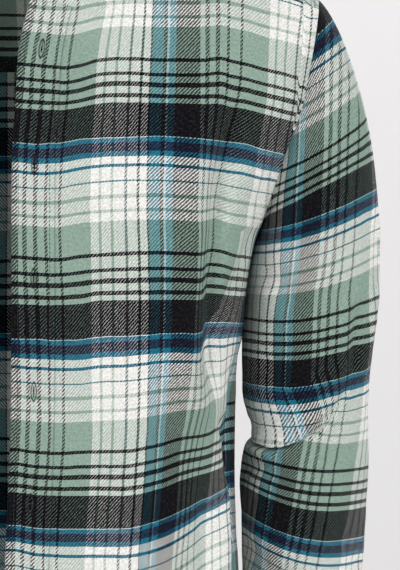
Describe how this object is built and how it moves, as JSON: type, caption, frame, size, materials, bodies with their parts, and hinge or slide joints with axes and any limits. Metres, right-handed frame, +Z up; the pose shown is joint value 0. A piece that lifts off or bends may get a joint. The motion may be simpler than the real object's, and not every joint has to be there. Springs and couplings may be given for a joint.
{
  "type": "flannel shirt",
  "caption": "Long-sleeved plaid flannel overshirt worn open: hollow body and hanging sleeves, fold-down collar, button plackets, yoke, cuffs and curved hem.",
  "frame": {"origin": "midway between the two shoulder-neck points, where the wearer's shoulders carry the shirt", "axes": "+Z up along the body, -Y is the front with the opening, +X is the wearer's left sleeve"},
  "size_m": [0.646, 0.294, 0.7875],
  "materials": {
    "flannel": "brushed cotton twill in a woven check, matt with a soft nap",
    "button": "dark four-hole shirt button with a low shine"
  },
  "bodies": {
    "root": {"left_front": "flannel", "right_front": "flannel", "back": "flannel", "yoke": "flannel", "left_placket": "flannel", "right_placket": "flannel", "collar_stand": "flannel", "collar_leaf": "flannel", "left_sleeve": "flannel", "right_sleeve": "flannel", "left_cuff": "flannel", "right_cuff": "flannel", "left_gauntlet": "flannel", "right_gauntlet": "flannel", "front_button_1": "button", "front_button_2": "button", "front_button_3": "button", "front_button_4": "button", "front_button_5": "button", "front_button_6": "button", "front_button_7": "button", "collar_button": "button", "left_cuff_button": "button", "right_cuff_button": "button"}
  },
  "joints": []
}
